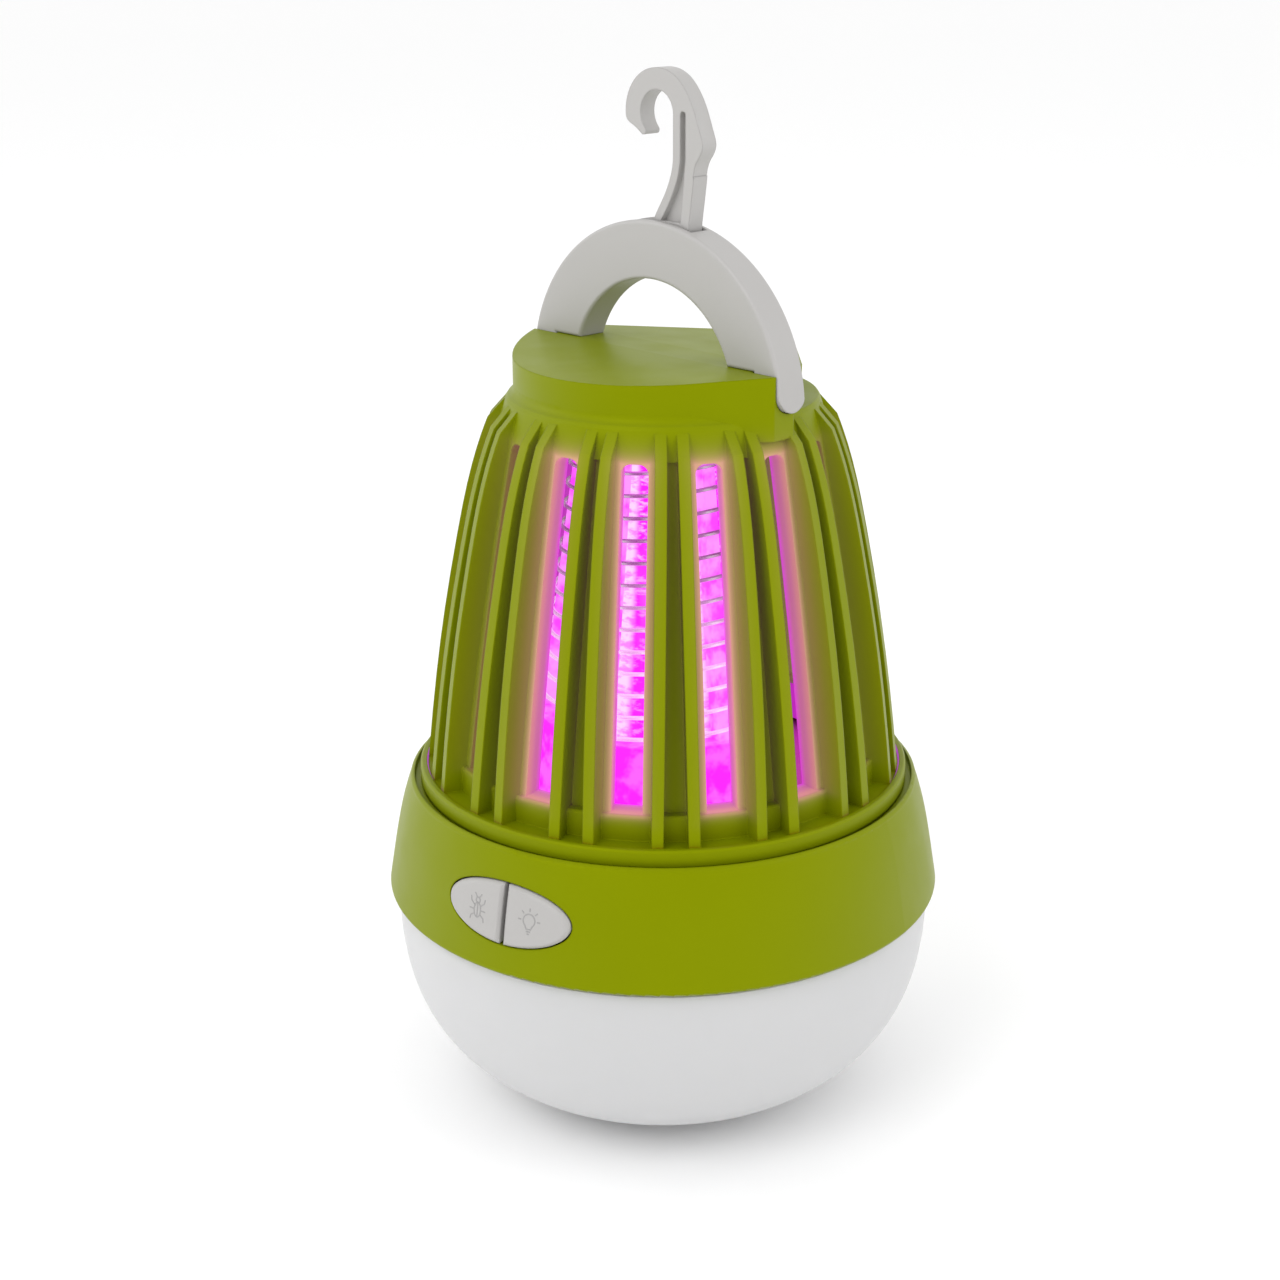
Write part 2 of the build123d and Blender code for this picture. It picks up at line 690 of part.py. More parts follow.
FOOT_Z = CAP_Z - ARCH_Z        # cap top, measured from the arch centre
TAB_S = 20.6                  # inner face of the handle's end tabs
TAB_Z = 0.4                   # lowest point of the tabs, from the arch centre
NOTCH_S = 20.4                # inner face of the pockets that hold the tabs
NOTCH_GAP = 0.15
EAR_S = 25.2                  # the cap's ears stand out this far beside the tabs
EAR_TURNS = {-1: 49.4, 1: 35.0}    # where each ear runs into the round of the cap, in degrees
EAR_DROP = 2.9                # the ears' faces run down into the shoulder by this much
HANDLE_SCREW_S = 18.3
screw_plane = Plane(origin=(0, 0, 110.6), x_dir=handle_plane.x_dir, z_dir=(0, 0, 1))
CHANNEL_DEPTH = 0.9           # groove between the two fins of a pair
end_plane = Plane(origin=(0, 0, 0), x_dir=handle_plane.z_dir * -1, z_dir=handle_plane.x_dir)
plan_plane = Plane(origin=(0, 0, SHOULDER_Z), x_dir=handle_plane.x_dir, z_dir=(0, 0, 1))


def tab_outline(distance, gap):
    """Upright strip with a round lower end, at a distance along the handle, gap wider than it."""
    width = HANDLE_T / 2 + gap
    low = ARCH_Z + TAB_Z + HANDLE_T / 2
    with BuildSketch(end_plane.offset(distance)) as outline:
        with Locations((0, low)):
            Circle(width)
            Rectangle(2 * width, 60, align=(Align.CENTER, Align.MIN))
    return outline.sketch

with BuildPart() as slot_cutter:
    with BuildSketch(Plane.XZ.offset(15)):
        with BuildLine():
            Polyline(
                (-SLOT_TOP_W / 2, SLOT_TOP_Z),
                (-SLOT_W / 2, SLOT_Z),
                (SLOT_W / 2, SLOT_Z),
                (SLOT_TOP_W / 2, SLOT_TOP_Z),
                close=True,
            )
        slot_face = make_face()
        fillet(slot_face.vertices().group_by(Axis.Y)[-1], 1.4)
    extrude(amount=25)

with BuildPart() as channel_cutter:
    with BuildSketch(Plane.YZ.offset(-1.9)):
        with BuildLine():
            edge = [(-r + CHANNEL_DEPTH, z) for r, z in shell_outside()]
            groove = ThreePointArc(*edge)
            Polyline(groove @ 1, (-40, 107.7), (-40, SLOT_Z), groove @ 0)
        make_face()
    extrude(amount=3.8)

with BuildPart() as fin_pair:
    for side in (-1, 1):
        lean = side * (FIN_TOP_OFFSET - FIN_OFFSET) / (108.7 - LIP_TOP_Z)
        blade = Plane(
            origin=(side * FIN_OFFSET, 0, LIP_TOP_Z), x_dir=(0, -1, 0), z_dir=(-1, 0, lean)
        )
        with BuildSketch(blade):
            with BuildLine():
                crest = Spline(*[(r, z - LIP_TOP_Z) for r, z in fin_edge()])
                root = [(r - 1.5, z - LIP_TOP_Z) for r, z in shell_outside()]
                back = ThreePointArc(*root)
                Polyline(
                    crest @ 1,
                    (SHOULDER_R + 0.2, 111.6 - LIP_TOP_Z),
                    (SHOULDER_R - 1.2, 111.6 - LIP_TOP_Z),
                    back @ 1,
                )
                Polyline(back @ 0, (31.5, -0.4), crest @ 0)
            make_face()
        extrude(amount=FIN_T / 2, both=True)

with BuildPart() as cage:
    with BuildSketch(Plane.XZ):
        with BuildLine():
            outside = ThreePointArc(*shell_outside())
            inside = ThreePointArc(*[(r - CAGE_WALL, z) for r, z in shell_outside()])
            Polyline(
                outside @ 1,
                (SHOULDER_R + 0.15, SHOULDER_Z - 0.5),
                (SHOULDER_R - 0.2, SHOULDER_Z),
            )
            flare = ThreePointArc(
                (SHOULDER_R - 0.2, SHOULDER_Z), (CAP_R + 0.2, SHOULDER_Z + 0.6), (CAP_R, SHOULDER_Z + 1.6)
            )
            Polyline(
                flare @ 1,
                (CAP_R, CAP_Z),
                (0, CAP_Z),
                (0, CAP_Z - CAP_FALL - CAP_WALL),
                (CAP_FLAT - CAP_WALL, CAP_Z - CAP_FALL - CAP_WALL),
                (CAP_FLAT - CAP_WALL, 111.0),
                inside @ 1,
            )
            Polyline(
                inside @ 0,
                (29.8, LIP_Z),
                (35.6, LIP_Z),
                (35.6, LEDGE_Z),
                (37.4, LEDGE_Z),
                (37.4, LIP_Z),
                (LIP_R, LIP_Z),
                (LIP_R, LIP_TOP_Z + 0.1),
                (LIP_R - 0.3, LIP_TOP_Z + 0.4),
                (LIP_R - 1.0, LIP_TOP_Z + 0.4),
                (LIP_R - 1.2, LIP_TOP_Z),
                (SILL_R, LIP_TOP_Z),
                (SILL_R, SLOT_Z - 0.3),
                (SILL_R - 0.3, SLOT_Z),
                outside @ 0,
            )
        make_face()
    revolve(axis=Axis.Z)
    with PolarLocations(0, BAYS):
        add(slot_cutter.part, mode=Mode.SUBTRACT)
    with PolarLocations(0, BAYS, start_angle=180 / BAYS):
        add(channel_cutter.part, mode=Mode.SUBTRACT)
        add(fin_pair.part)
    # bosses under the cap for the handle's screws
    with BuildSketch(handle_plane):
        with Locations((-16.9, FOOT_Z - CAP_WALL), (16.9, FOOT_Z - CAP_WALL)):
            Rectangle(7.0, 6.2, align=(Align.CENTER, Align.MAX))
    extrude(amount=4.5, both=True)
    # ears that widen the cap to the handle's outer ends, in front of it
    for low, inner_r in ((0, 12), (-EAR_DROP, 21.5)):
        with BuildSketch(plan_plane.offset(low)):
            for side, turn in EAR_TURNS.items():
                root = (side * CAP_R * cos(radians(turn)), -CAP_R * sin(radians(turn)))
                with BuildLine():
                    flank = TangentArc(
                        root,
                        (side * EAR_S, -HANDLE_T / 2 - 0.4),
                        tangent=(side * sin(radians(turn)), cos(radians(turn))),
                    )
                    Polyline(flank @ 1, (side * EAR_S, 1.0), (side * 8, 1.0), (side * 8, root[1]), root)
                make_face()
            Circle(inner_r, mode=Mode.SUBTRACT)
        extrude(amount=CAP_Z - SHOULDER_Z - low)
    # two flats behind the handle
    with BuildSketch(plan_plane):
        for side in (-1, 1):
            with Locations(Rotation(0, 0, 90 - side * 45)):
                with Locations((CAP_FLAT, 0)):
                    Rectangle(10, 30, align=(Align.MIN, Align.CENTER))
    extrude(amount=10, mode=Mode.SUBTRACT)
    # top falling away on both sides of the handle
    with BuildSketch(end_plane):
        for side in (-1, 1):
            ridge = side * (HANDLE_T / 2 + 0.3)
            rim = side * (CAP_R + 6)
            with BuildLine():
                Polyline(
                    (ridge, CAP_Z),
                    (rim, CAP_Z - CAP_FALL * (CAP_R + 6) / CAP_R),
                    (rim, CAP_Z + 3),
                    (ridge, CAP_Z + 3),
                    close=True,
                )
            make_face()
    extrude(amount=40, both=True, mode=Mode.SUBTRACT)
    # pockets for the ends of the handle
    for side in (-1, 1):
        extrude(tab_outline(side * NOTCH_S, NOTCH_GAP), amount=side * 8, mode=Mode.SUBTRACT)
    with BuildSketch(screw_plane.offset(-1)):
        with Locations((-HANDLE_SCREW_S, 0), (HANDLE_SCREW_S, 0)):
            Circle(1.15)
    extrude(amount=12, mode=Mode.SUBTRACT)
    with BuildSketch(screw_plane.offset(-1)):
        with Locations((-HANDLE_SCREW_S, 0), (HANDLE_SCREW_S, 0)):
            Circle(2.35)
    extrude(amount=3.6, mode=Mode.SUBTRACT)

# ---------------------------------------------------------------- handle
SLOT_FLOOR_R = 18.4           # floor of the slot that the hook folds into
SLOT_RIGHT = 7.3
SLOT_LEFT_ANGLE = 147
PIN_FRONT = 1.9               # blind end of the hook's pin, in front of the middle of the handle

with BuildPart() as handle:
    with BuildSketch(handle_plane):
        Ellipse(ARCH_HALF_SPAN, ARCH_R)
        Circle(ARCH_INNER_R, mode=Mode.SUBTRACT)
        with Locations((0, FOOT_Z + 0.02)):
            Rectangle(2 * TAB_S, 60, align=(Align.CENTER, Align.MAX), mode=Mode.SUBTRACT)
        with Locations((0, TAB_Z)):
            Rectangle(60, 60, align=(Align.CENTER, Align.MAX), mode=Mode.SUBTRACT)
    extrude(amount=HANDLE_T / 2, both=True)
    for cheek in (HANDLE_T / 2, -HANDLE_T / 2):
        side_face = handle.faces().filter_by_position(across, cheek - 0.01, cheek + 0.01)
        fillet(side_face.edges(), 0.5)
    # round lower ends
    extrude(tab_outline(-60, 0), amount=120, mode=Mode.INTERSECT)
    # slot for the hook
    with BuildSketch(handle_plane):
        with BuildLine():
            reach = 36
            Polyline(
                (SLOT_RIGHT, 0),
                (SLOT_RIGHT, reach),
                (reach * cos(radians(SLOT_LEFT_ANGLE)), reach),
                (
                    reach * cos(radians(SLOT_LEFT_ANGLE)),
                    reach * sin(radians(SLOT_LEFT_ANGLE)),
                ),
                (0, 0),
                close=True,
            )
        make_face()
        Circle(SLOT_FLOOR_R, mode=Mode.SUBTRACT)
    extrude(amount=HOOK_T / 2 + HOOK_GAP, both=True, mode=Mode.SUBTRACT)
    # blind hole for the hook's pin, from the back
    with BuildSketch(handle_plane.offset(PIN_FRONT)):
        with Locations(PIVOT):
            Circle(PIVOT_R)
    extrude(amount=-HANDLE_T, mode=Mode.SUBTRACT)
    with BuildSketch(screw_plane):
        with Locations((-HANDLE_SCREW_S, 0), (HANDLE_SCREW_S, 0)):
            Circle(1.05)
    extrude(amount=13, mode=Mode.SUBTRACT)

with BuildPart() as handle_screws:
    with BuildSketch(screw_plane.offset(0.4)):
        with Locations((-HANDLE_SCREW_S, 0), (HANDLE_SCREW_S, 0)):
            Circle(2.1)
    extrude(amount=1.6)
    with BuildSketch(screw_plane.offset(2.0)):
        with Locations((-HANDLE_SCREW_S, 0), (HANDLE_SCREW_S, 0)):
            Circle(1.0)
    extrude(amount=10)

with BuildPart() as hook_pin:
    with BuildSketch(handle_plane.offset(PIN_FRONT)):
        with Locations(PIVOT):
            Circle(PIVOT_R)
    extrude(amount=-(PIN_FRONT + HANDLE_T / 2 - 0.1))
    chamfer(hook_pin.edges().filter_by(GeomType.CIRCLE), 0.2)

# ---------------------------------------------------------------- hook
BOSS_R = 3.0
POCKET_DEPTH = 1.0

with BuildPart() as hook:
    with BuildSketch(handle_plane):
        with BuildLine():
            eye_x, eye_y = EYE
            Line((0.4, 22.0), (-0.4, 25.3))
            Spline((-0.4, 25.3), (1.35, 28.2), (3.0, 31.8), (3.4, 34.6), tangents=[(0.5, 1), (0, 1)])
            Line((3.4, 34.6), (eye_x + EYE_R, eye_y))
            inner = CenterArc(EYE, EYE_R, 0, 224)
            tip = TangentArc(inner @ 1, (-3.0, 37.1), tangent=inner % 1)
            outer = CenterArc(EYE, CURL_R, 90, 95)
            Spline(tip @ 1, (-4.7, 38.2), outer @ 1, tangents=[tip % 1, (outer % 1) * -1])
            crown = Spline(outer @ 0, (4.6, 45.0), (7.1, 41.8), (9.0, 37.3), tangents=[(1, 0), (0.38, -0.92)])
            Spline(
                crown @ 1, (9.25, 36.0), (8.75, 34.8), (7.8, 33.3), (7.4, 31.5), (6.6, 25.0),
                tangents=[(0.38, -0.92), (-0.15, -1)],
            )
            Polyline((6.6, 25.0), (6.4, 22.0), (0.4, 22.0))
        make_face()
        with Locations(PIVOT):
            Circle(BOSS_R)
    extrude(amount=HOOK_T / 2, both=True)
    # tapered pocket in each face of the stem
    with BuildSketch(handle_plane.offset(HOOK_T / 2), handle_plane.offset(POCKET_DEPTH - HOOK_T / 2)):
        with BuildLine():
            Line((4.8, 40.2), (4.8, 34.2))
            Spline((4.8, 34.2), (4.2, 31.2), (3.1, 28.6), (0.9, 25.0))
            Polyline((0.9, 25.0), (4.9, 25.0), (5.9, 34.0), (5.9, 40.2))
            ThreePointArc((5.9, 40.2), (5.35, 40.75), (4.8, 40.2))
        make_face()
    extrude(amount=-POCKET_DEPTH, mode=Mode.SUBTRACT)
    with BuildSketch(handle_plane):
        with Locations(PIVOT):
            Circle(PIVOT_R + 0.05)
    extrude(amount=HOOK_T, both=True, mode=Mode.SUBTRACT)

# ---------------------------------------------------------------- labels and files
pieces = {
    "diffuser_dome": diffuser_dome,
    "dome_gasket": dome_gasket,
    "main_housing": main_housing,
    "deck": deck,
    "cage_seal": cage_seal,
    "chassis_tray": chassis_tray,
    "tray_screws": tray_screws,
    "led_board": led_board,
    "white_leds": white_leds,
    "led_board_screws": led_board_screws,
    "battery_cell": battery_cell,
    "battery_strap": battery_strap,
    "main_board": main_board,
    "board_screws": board_screws,
    "hv_transformer": hv_transformer,
    "hv_capacitors": hv_capacitors,
    "usb_socket": usb_socket,
    "grid_terminals": grid_terminals,
    "zap_button": zap_button,
    "lamp_button": lamp_button,
    "zap_plunger": zap_plunger,
    "lamp_plunger": lamp_plunger,
    "switch_bodies": switch_bodies,
    "switch_board": switch_board,
    "port_cover": port_cover,
    "uv_led_board": uv_led_board,
    "uv_leds": uv_leds,
    "light_tube": light_tube,
    "grid_frame": grid_frame,
    "grid_wire_live": grid_wire_live,
    "grid_wire_return": grid_wire_return,
    "grid_cap": grid_cap,
    "grid_cap_screw": grid_cap_screw,
    "cage": cage,
    "handle": handle,
    "handle_screws": handle_screws,
    "hook_pin": hook_pin,
    "hook": hook,
}

for node, piece in pieces.items():
    piece.part.label = node
    export_step(piece.part, f"parts/{node}.step")
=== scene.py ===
import json
import math

import bpy
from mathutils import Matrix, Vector
from mathutils.bvhtree import BVHTree


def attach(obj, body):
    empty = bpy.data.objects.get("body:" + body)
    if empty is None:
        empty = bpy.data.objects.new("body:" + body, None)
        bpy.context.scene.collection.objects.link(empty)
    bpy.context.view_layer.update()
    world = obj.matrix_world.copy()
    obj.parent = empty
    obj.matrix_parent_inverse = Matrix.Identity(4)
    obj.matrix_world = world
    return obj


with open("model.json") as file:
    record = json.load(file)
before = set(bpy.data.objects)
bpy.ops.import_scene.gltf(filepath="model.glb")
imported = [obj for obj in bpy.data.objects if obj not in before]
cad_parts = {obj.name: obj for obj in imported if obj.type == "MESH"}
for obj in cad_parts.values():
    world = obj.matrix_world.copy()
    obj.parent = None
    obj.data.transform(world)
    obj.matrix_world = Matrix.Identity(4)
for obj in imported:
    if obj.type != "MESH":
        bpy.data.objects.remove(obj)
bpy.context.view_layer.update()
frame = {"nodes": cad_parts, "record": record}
nodes = frame["nodes"]
scene = bpy.context.scene
MM = 0.001

# ---------------------------------------------------------------- sizes, in metres
BAYS = 15                          # insect slots round the cage
SLOT_LOW = 58.3 * MM
SLOT_HIGH = 107.4 * MM
SLOT_HALF_LOW = 2.3 * MM           # half a slot's width at its two ends
SLOT_HALF_HIGH = 1.95 * MM
SKIN_R = 33.0 * MM                 # outer radius of the cage at the slots' lower ends
SKIN_LEAN = -0.1225                # change of that radius with the rise above there
SKIN_CURVE = -0.94                 # and with the square of the rise
SKIRT_Z = 62.8 * MM                # top of the grid frame's skirt
WIRE_LIT_Z = 72 * MM              # the light painted on the grid wires is strongest below this height
WIRE_DIM_Z = 92 * MM              # and faintest above this one
DECK_UNDER_Z = 49.5 * MM           # the deck's floor: just above its underside
DECK_TOP_Z = 50.5 * MM             # and just below its top
DECK_LIT_R = 27 * MM               # radius inside which the tube's light is painted in full on that floor
DECK_DARK_R = 33 * MM
TUBE_LOW_Z = 74 * MM               # painted reflected flecks on the tube grow from here
TUBE_HIGH_Z = 98 * MM              # to here
BUTTON_Z = 43.7 * MM               # height of the buttons' middles
INK_T = 0.04 * MM                  # how far a symbol's lines stand out of the button
FLOOR_HALF = 6.0                   # half the width of the studio floor

# ---------------------------------------------------------------- where the camera is
VIEW_TURN = math.radians(33.1)     # the camera stands this far round from the buttons
VIEW_TILT = math.radians(18.03)
VIEW_PLACE = Vector((171.9 * MM, -263.7 * MM, 182.8 * MM))
VIEW_LENS = 60.62                  # focal length in millimetres on a sensor this wide
VIEW_SENSOR = 36.0
VIEW_SHIFT = (-0.018, -0.0347)
FRONT = (0.546, -0.838)            # level direction from the lantern to the camera

# ---------------------------------------------------------------- node helpers


class Tree:
    """Short calls for building one material's nodes."""

    def __init__(self, name):
        self.material = bpy.data.materials.new(name)
        self.material.use_nodes = True
        self.nodes = self.material.node_tree.nodes
        self.links = self.material.node_tree.links
        self.shader = self.nodes["Principled BSDF"]
        place = self.nodes.new("ShaderNodeTexCoord")
        self.coordinates = place.outputs["Object"]
        self.normal = place.outputs["Normal"]

    def put(self, socket, value):
        """Links value into socket, or sets it there if it is a plain number or colour."""
        if isinstance(value, bpy.types.NodeSocket):
            self.links.new(value, socket)
        else:
            socket.default_value = value

    def fill(self, sockets, values):
        """Puts each value into the socket in the same place."""
        for socket, value in zip(sockets, values):
            self.put(socket, value)

    def set(self, **values):
        """Sets the shader's sockets; an underscore stands for a space in their names."""
        for name, value in values.items():
            self.put(self.shader.inputs[name.replace("_", " ")], value)

    def math(self, operation, *values):
        """One sum on up to three numbers."""
        node = self.nodes.new("ShaderNodeMath")
        node.operation = operation
        self.fill(node.inputs, values)
        return node.outputs[0]

    def vector_math(self, operation, *values, output="Vector"):
        """One sum on up to two vectors."""
        node = self.nodes.new("ShaderNodeVectorMath")
        node.operation = operation
        self.fill(node.inputs, values)
        return node.outputs[output]

    def ramp(self, value, low, high, to_low=0.0, to_high=1.0, smooth=True):
        """value mapped from low..high to to_low..to_high."""
        node = self.nodes.new("ShaderNodeMapRange")
        node.interpolation_type = "SMOOTHSTEP" if smooth else "LINEAR"
        self.fill(node.inputs, (value, low, high, to_low, to_high))
        return node.outputs[0]

    def mix(self, amount, first, second):
        """Two colours mixed by amount."""
        node = self.nodes.new("ShaderNodeMix")
        node.data_type = "RGBA"
        self.put(node.inputs["Factor"], amount)
        self.fill(node.inputs[6:8], (first, second))
        return node.outputs[2]

    def stretched(self, scale):
        """Object coordinates scaled by a different amount along each axis."""
        node = self.nodes.new("ShaderNodeMapping")
        self.put(node.inputs["Vector"], self.coordinates)
        self.put(node.inputs["Scale"], scale)
        return node.outputs[0]

    def noise(self, size, detail=3.0, vector=None, roughness=0.55):
        """Noise between 0 and 1 whose features are about size metres across."""
        node = self.nodes.new("ShaderNodeTexNoise")
        self.put(node.inputs["Vector"], vector or self.coordinates)
        self.put(node.inputs["Scale"], 1 / size)
        self.put(node.inputs["Detail"], detail)
        self.put(node.inputs["Roughness"], roughness)
        return node.outputs["Fac"]

    def cells(self, size):
        """Distance from the middle of the nearest of many cells about size metres across."""
        node = self.nodes.new("ShaderNodeTexVoronoi")
        self.put(node.inputs["Vector"], self.coordinates)
        self.put(node.inputs["Scale"], 1 / size)
        return node.outputs["Distance"]

    def split(self):
        """The object coordinates as separate x, y and z."""
        node = self.nodes.new("ShaderNodeSeparateXYZ")
        self.put(node.inputs[0], self.coordinates)
        return node.outputs

    def radius(self, x, y):
        """Distance from the lantern's axis."""
        square = self.math("ADD", self.math("MULTIPLY", x, x), self.math("MULTIPLY", y, y))
        return self.math("SQRT", square)

    def turn(self, x, y):
        """Angle round the lantern's axis, 0 on the buttons' side."""
        return self.math("ARCTAN2", x, self.math("MULTIPLY", y, -1.0))

    def inward(self):
        """1 on faces that look at the lantern's axis, 0 on sideways and -1 on outer ones."""
        flat = self.vector_math("MULTIPLY", self.coordinates, (-1.0, -1.0, 0.0))
        centre = self.vector_math("NORMALIZE", flat)
        return self.vector_math("DOT_PRODUCT", self.normal, centre, output="Value")

    def bump(self, height, depth, edge=0.0):
        """Bump from a 0 to 1 height that stands depth metres proud, over edges softened by edge."""
        node = self.nodes.new("ShaderNodeBump")
        self.put(node.inputs["Strength"], 1.0)
        self.put(node.inputs["Distance"], depth)
        self.put(node.inputs["Height"], height)
        if edge:
            soft = self.nodes.new("ShaderNodeBevel")
            soft.samples = 6
            self.put(soft.inputs["Radius"], edge)
            self.put(node.inputs["Normal"], soft.outputs[0])
        self.put(self.shader.inputs["Normal"], node.outputs[0])


# ---------------------------------------------------------------- finishes
WHITE = (1.0, 1.0, 1.0, 1.0)


def shade(colour, factor):
    """A colour made lighter or darker."""
    return tuple(min(c * factor, 1.0) for c in colour[:3]) + (1.0,)


def drift(t, colour, spread=0.06):
    """Slow drift of colour to either side of the one given."""
    cloud = t.noise(14 * MM, 2)
    t.set(Base_Color=t.mix(cloud, shade(colour, 1 - spread), shade(colour, 1 + spread)))


def gloss(t, rough=0.4, coat=0.0, tint=WHITE):
    """Slightly uneven gloss, under a clear coat where there is one."""
    t.set(Roughness=t.ramp(t.noise(9 * MM, 2), 0.3, 0.7, rough - 0.03, rough + 0.03))
    t.set(Coat_Weight=coat, Coat_Roughness=0.25, Specular_Tint=tint)


def eroded(t, grain=0.25 * MM, depth=0.004 * MM, edge=0.0):
    """The fine grain that a spark-eroded mould leaves."""
    t.bump(t.noise(grain, 2), depth, edge=edge)


def moulded(name, colour, rough=0.4, spread=0.06, coat=0.0, grain=0.25 * MM, depth=0.004 * MM,
            edge=0.0, tint=WHITE):
    """Injection moulded plastic."""
    t = Tree(name)
    drift(t, colour, spread)
    gloss(t, rough, coat, tint)
    eroded(t, grain, depth, edge)
    return t


def metal(name, colour, rough=0.3, streak=(1, 1, 30)):
    """Bare metal with drawn streaks and faint dulling."""
    t = Tree(name)
    lines = t.noise(1.2 * MM, 4, t.stretched(streak))
    t.set(Base_Color=t.mix(lines, shade(colour, 0.82), shade(colour, 1.12)))
    t.set(Metallic=1.0)
    t.set(Roughness=t.ramp(lines, 0.25, 0.75, rough - 0.08, rough + 0.12))
    t.bump(lines, 0.006 * MM)
    return t


def soft_rubber(name, colour):
    """Matt rubber with a coarser grain and a faint bloom."""
    t = moulded(name, colour, rough=0.7, grain=0.4 * MM, depth=0.01 * MM)
    t.set(Sheen_Weight=0.15, Sheen_Roughness=0.5)
    return t


# ---------------------------------------------------------------- materials
GREEN = (0.186, 0.226, 0.0004, 1.0)
GREEN_GLOSS = (0.95, 1.0, 0.03, 1.0)    # tint of the highlights on the green plastic
GREY = (0.415, 0.405, 0.395, 1.0)
MAGENTA = (1.0, 0.022, 1.0, 1.0)        # the tube's light
SOFT_EDGE = 0.35 * MM                   # rounding that the renderer gives moulded edges

GLOW_REACH = 0.85 * MM                  # how far the painted glow from a slot reaches into the plastic beside it
SLOT_GLOW = 0.74                        # strength of the painted glow at the slot's edge, facing the camera
GLOW_AWAY = 0.16                        # share of that which is left towards the back
NEAR_COSINE = 0.80                      # cosine of the angle off FRONT where the glow is full
AWAY_COSINE = 0.52                      # and where only that share is left
INSIDE_GLOW = 0.60                      # strength of the painted glow on the walls that look at the tube
DECK_GLOW = 0.55                        # strength of the painted glow on the deck's floor
FADE_BELOW = 2.2                        # a distance below a slot counts this many times over
FADE_PROUD = 0.6                        # a distance out along a fin counts for this share

TUBE_BANDS = 8                          # painted reflections: pale upright bands round the tube
TUBE_FIRST = math.radians(8.1)          # angle of the first band
BAND_CORE = math.radians(3.0)           # a band is full this far to either side of its middle
BAND_END = math.radians(9.0)            # and gone this far out


def green_plastic(name):
    """The green of the shell, with yellower highlights."""
    t = moulded(name, GREEN, rough=0.42, spread=0.03, edge=SOFT_EDGE, tint=GREEN_GLOSS)
    t.set(Specular_IOR_Level=0.32)
    return t


def skin_radius(t, z):
    """Radius of the slotted shell's outer skin at height z."""
    rise = t.math("SUBTRACT", z, SLOT_LOW)
    straight = t.math("MULTIPLY_ADD", rise, SKIN_LEAN, SKIN_R)
    return t.math("MULTIPLY_ADD", t.math("MULTIPLY", rise, rise), SKIN_CURVE, straight)


def slot_distance(t, x, y, z, radius):
    """Distance in metres from the nearest slot's outer edge."""
    pitch = 2 * math.pi / BAYS
    offset = t.math("PINGPONG", t.turn(x, y), pitch / 2)
    arc = t.math("MULTIPLY", t.math("SINE", offset), radius)
    half = t.ramp(z, SLOT_LOW, SLOT_HIGH, SLOT_HALF_LOW, SLOT_HALF_HIGH, smooth=False)
    beside = t.math("MAXIMUM", t.math("SUBTRACT", arc, half), 0.0)
    above = t.math("MAXIMUM", t.math("SUBTRACT", z, SLOT_HIGH), 0.0)
    below = t.math("MULTIPLY", t.math("SUBTRACT", SLOT_LOW, z), FADE_BELOW)
    ends = t.math("ADD", above, t.math("MAXIMUM", below, 0.0))
    out = t.math("MULTIPLY", t.math("SUBTRACT", radius, skin_radius(t, z)), FADE_PROUD)
    out = t.math("MAXIMUM", out, 0.0)
    square = t.math("MULTIPLY", beside, beside)
    for span in (ends, out):
        square = t.math("MULTIPLY_ADD", span, span, square)
    return t.math("SQRT", square)


def lit_green_shell():
    """The cage's green plastic, with light from inside painted on as glow in the walls round every slot.
    """
    t = green_plastic("lit_green_shell")
    x, y, z = t.split()
    radius = t.radius(x, y)
    distance = slot_distance(t, x, y, z, radius)
    painted_glow = t.math("EXPONENT", t.math("MULTIPLY", distance, -1 / GLOW_REACH))
    # the painted glow is strongest on the bays about the front, towards the camera, and weaker towards
    # the back
    front = t.math("MULTIPLY_ADD", x, FRONT[0], t.math("MULTIPLY", y, FRONT[1]))
    front = t.ramp(t.math("DIVIDE", front, radius), AWAY_COSINE, NEAR_COSINE, GLOW_AWAY, 1.0)
    # down a slot's wall the painted glow turns from tan at the rim to magenta at the inner edge
    rim = (0.72, 0.20, 0.36, 1.0)
    middle = (0.60, 0.10, 0.46, 1.0)
    inner_edge = (0.85, 0.02, 0.95, 1.0)
    tube_side = (0.60, 0.01, 0.80, 1.0)
    depth = t.math("SUBTRACT", skin_radius(t, z), radius)
    wall = t.mix(t.ramp(depth, 0.2 * MM, 2.0 * MM), rim, middle)
    wall = t.mix(t.ramp(depth, 2.0 * MM, 3.4 * MM), wall, inner_edge)
    inside = t.ramp(t.inward(), 0.55, 0.8)
    t.set(Emission_Color=t.mix(inside, wall, tube_side))
    painted_glow = t.math("MULTIPLY", t.math("MULTIPLY", painted_glow, front), SLOT_GLOW)
    t.set(Emission_Strength=t.math("MAXIMUM", painted_glow, t.math("MULTIPLY", inside, INSIDE_GLOW)))
    return t


def lit_deck():
    """The green deck, whose floor under the grid has the tube's light painted on as glow."""
    t = green_plastic("lit_deck")
    x, y, z = t.split()
    near = t.ramp(t.radius(x, y), DECK_DARK_R, DECK_LIT_R)
    floor = t.math("MULTIPLY", near, t.ramp(z, DECK_UNDER_Z, DECK_TOP_Z))
    t.set(Emission_Color=(0.60, 0.02, 0.62, 1.0))
    t.set(Emission_Strength=t.math("MULTIPLY", floor, DECK_GLOW))
    return t


def lit_wire():
    """Bare grid wire, with the lit skirt's light painted on as glow, palest low down."""
    t = metal("grid_wire", (0.62, 0.56, 0.62, 1.0), rough=0.28)
    shine = t.ramp(t.split()[2], WIRE_DIM_Z, WIRE_LIT_Z, 0.04, 0.62)
    t.set(Emission_Color=(1.0, 0.62, 1.0, 1.0), Emission_Strength=shine)
    return t


